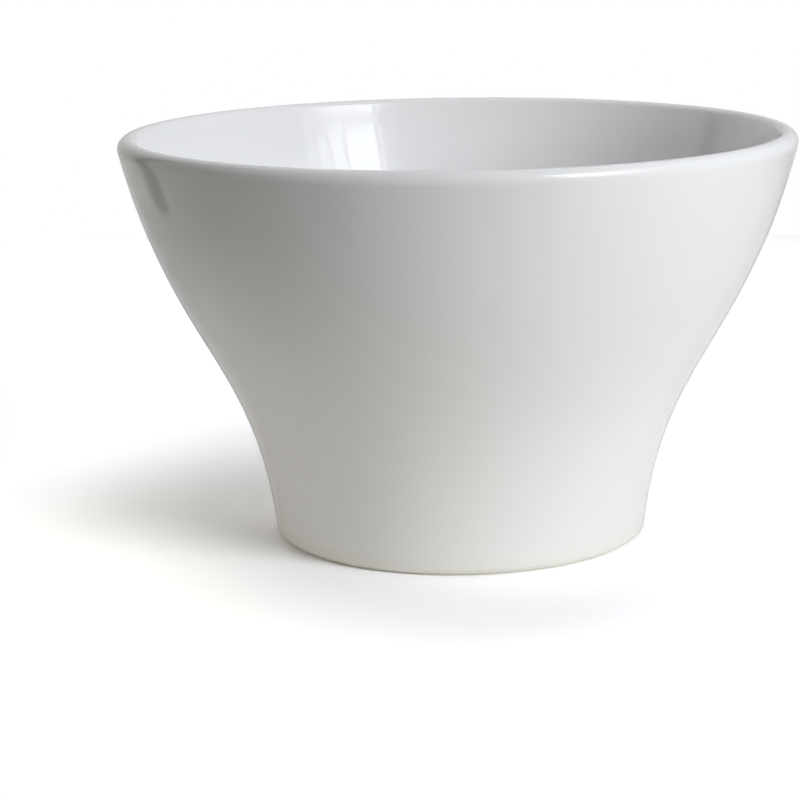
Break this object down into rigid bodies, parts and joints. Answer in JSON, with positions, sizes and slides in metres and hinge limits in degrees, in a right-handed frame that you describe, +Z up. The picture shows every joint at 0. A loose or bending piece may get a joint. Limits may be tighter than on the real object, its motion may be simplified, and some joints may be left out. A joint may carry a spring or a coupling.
{
  "type": "footed ceramic bowl",
  "caption": "Deep footed bowl with a wide mouth, a rounded lip and an S-curved wall, in white glaze over fired clay; it stands on a bare foot ring and holds food or loose things.",
  "frame": {"origin": "centre of the foot ring, on the surface that the bowl stands on", "axes": "+Z up along the bowl's axis of turning, out of its mouth"},
  "size_m": [0.2598, 0.2598, 0.1574],
  "materials": {
    "fired_clay": "bare, matt, fine-grained fired clay",
    "white_glaze": "glossy white glaze",
    "foot_glaze": "thin glossy off-white glaze"
  },
  "bodies": {
    "root": {"bowl_body": "fired_clay", "glaze_coat": "white_glaze", "base_glaze": "foot_glaze"}
  },
  "joints": []
}
